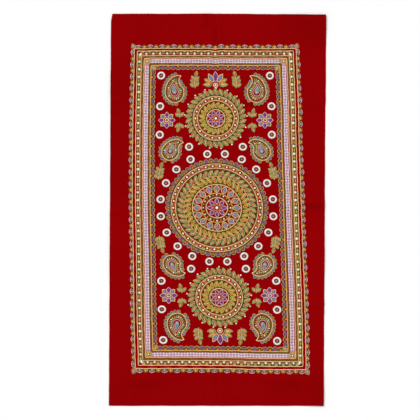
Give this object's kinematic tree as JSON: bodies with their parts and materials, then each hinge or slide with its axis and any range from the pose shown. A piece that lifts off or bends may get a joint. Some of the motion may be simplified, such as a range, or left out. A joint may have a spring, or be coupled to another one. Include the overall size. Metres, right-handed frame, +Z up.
{
  "type": "rogan painting",
  "caption": "Upright rectangle of dyed cotton cloth lying face up and almost flat, with a long fold, cross folds and slightly lifted edges, for a pattern in raised oil paint.",
  "frame": {"origin": "under the middle of the cloth, on the surface that it lies on", "axes": "+Z up out of the painted face, +Y along the length towards the top edge of the picture, +X to the right as one looks down at the picture"},
  "size_m": [0.355, 0.6412, 0.0036],
  "materials": {
    "red_cotton": "matt plain weave, dyed deep red",
    "cream_paste": "raised castor-oil paste, satin, cream",
    "yellow_paste": "raised castor-oil paste, satin, yellow",
    "lime_paste": "raised castor-oil paste, satin, lime",
    "olive_paste": "raised castor-oil paste, satin, olive",
    "peach_paste": "raised castor-oil paste, satin, peach",
    "orange_paste": "raised castor-oil paste, satin, orange",
    "green_paste": "raised castor-oil paste, satin, green",
    "teal_paste": "raised castor-oil paste, satin, teal",
    "lilac_paste": "raised castor-oil paste, satin, lilac",
    "purple_paste": "raised castor-oil paste, satin, purple",
    "white_paste": "raised castor-oil paste, satin, white",
    "blue_paste": "raised castor-oil paste, satin, blue",
    "brown_paste": "raised castor-oil paste, satin, brown"
  },
  "bodies": {
    "root": {"cloth": "red_cotton"}
  },
  "joints": []
}
